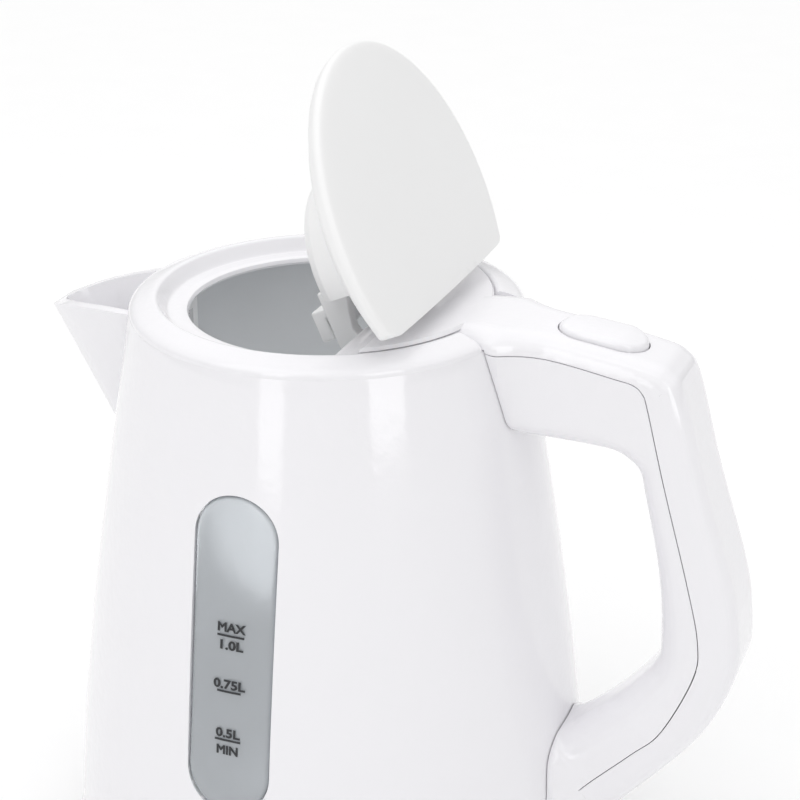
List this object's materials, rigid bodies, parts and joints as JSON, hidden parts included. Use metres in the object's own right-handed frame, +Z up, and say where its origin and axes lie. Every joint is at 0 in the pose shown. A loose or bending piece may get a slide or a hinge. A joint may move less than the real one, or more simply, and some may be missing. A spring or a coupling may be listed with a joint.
{
  "type": "electric kettle",
  "caption": "Cordless jug kettle with a spout, water window, loop handle, push-button hinged lid and a round power base.",
  "frame": {"origin": "on the jug's axis, where the flat hub of the base's underside rests on the table", "axes": "+Z up along the jug's axis, +X towards the handle, -X towards the spout, the water window on the -Y side"},
  "size_m": [0.2188, 0.164, 0.256],
  "materials": {
    "gloss_white_shell": "glossy moulded white polypropylene",
    "satin_white_lid": "fine satin moulded white polypropylene",
    "window_clear": "clear moulded plastic, polished, with printed volume marks",
    "dark_plastic": "dark grey moulded polyamide",
    "grey_rubber": "dark grey rubber",
    "clear_silicone": "translucent silicone",
    "stainless_steel": "bright rolled stainless steel",
    "contact_brass": "bright stamped brass"
  },
  "bodies": {
    "power_base": {"base_top_shell": "gloss_white_shell", "base_plate": "gloss_white_shell", "base_connector": "dark_plastic", "contact_line": "contact_brass", "contact_neutral": "contact_brass", "contact_earth": "contact_brass", "base_foot_1": "grey_rubber", "base_foot_2": "grey_rubber", "base_foot_3": "grey_rubber", "base_screw_1": "stainless_steel", "base_screw_2": "stainless_steel", "base_screw_3": "stainless_steel", "cord_gland": "grey_rubber"},
    "jug": {"jug_body": "gloss_white_shell", "water_window": "window_clear", "window_gasket": "clear_silicone", "heater_plate": "stainless_steel", "heater_seal": "clear_silicone", "heating_element": "stainless_steel", "control_body": "dark_plastic", "connector_pin": "contact_brass", "connector_ring": "contact_brass", "dry_boil_disc_1": "contact_brass", "dry_boil_disc_2": "contact_brass", "steam_disc": "contact_brass", "steam_tube": "satin_white_lid", "switch_bracket": "dark_plastic", "bottom_cover": "gloss_white_shell", "bottom_screw_1": "stainless_steel", "bottom_screw_2": "stainless_steel", "bottom_screw_3": "stainless_steel", "handle_cover": "gloss_white_shell", "handle_grip": "gloss_white_shell", "handle_screw": "stainless_steel", "hinge_pin": "stainless_steel", "lid_spring": "stainless_steel", "button_spring": "stainless_steel"},
    "lid": {"lid_outer": "satin_white_lid", "lid_inner": "satin_white_lid"},
    "release_button": {"release_button": "gloss_white_shell"},
    "latch_slider": {"latch_slider": "dark_plastic"},
    "switch_lever": {"switch_lever": "satin_white_lid"},
    "spout_filter": {"filter_frame": "satin_white_lid", "filter_mesh": "stainless_steel"}
  },
  "joints": [
    {"name": "jug_lift", "type": "slide", "parent": "power_base", "child": "jug", "axis": [0, 0, 1], "range_m": [0, 0.06]},
    {"name": "lid_hinge", "type": "hinge", "parent": "jug", "child": "lid", "pos_m": [0.0319, 0, 0.1779], "axis": [0, 1, 0], "range_deg": [-65.5, 0], "stiffness_Nm_per_rad": 0.01, "springref_deg": 85.94},
    {"name": "button_press", "type": "slide", "parent": "jug", "child": "release_button", "axis": [0, 0, -1], "range_m": [0, 0.0025], "stiffness_N_per_m": 400, "springref_m": -0.002, "deforming": ["button_spring"]},
    {"name": "latch_pull", "type": "slide", "parent": "jug", "child": "latch_slider", "axis": [1, 0, 0], "range_m": [0, 0.0025]},
    {"name": "switch_rock", "type": "hinge", "parent": "jug", "child": "switch_lever", "pos_m": [0.071, 0, 0.0218], "axis": [0, 1, 0], "range_deg": [0, 12]},
    {"name": "filter_unclip", "type": "slide", "parent": "jug", "child": "spout_filter", "axis": [1, 0, 0], "range_m": [0, 0.012]}
  ],
  "couplings": [
    {"joint": "latch_pull", "follows": "button_press", "ratio": 1}
  ]
}
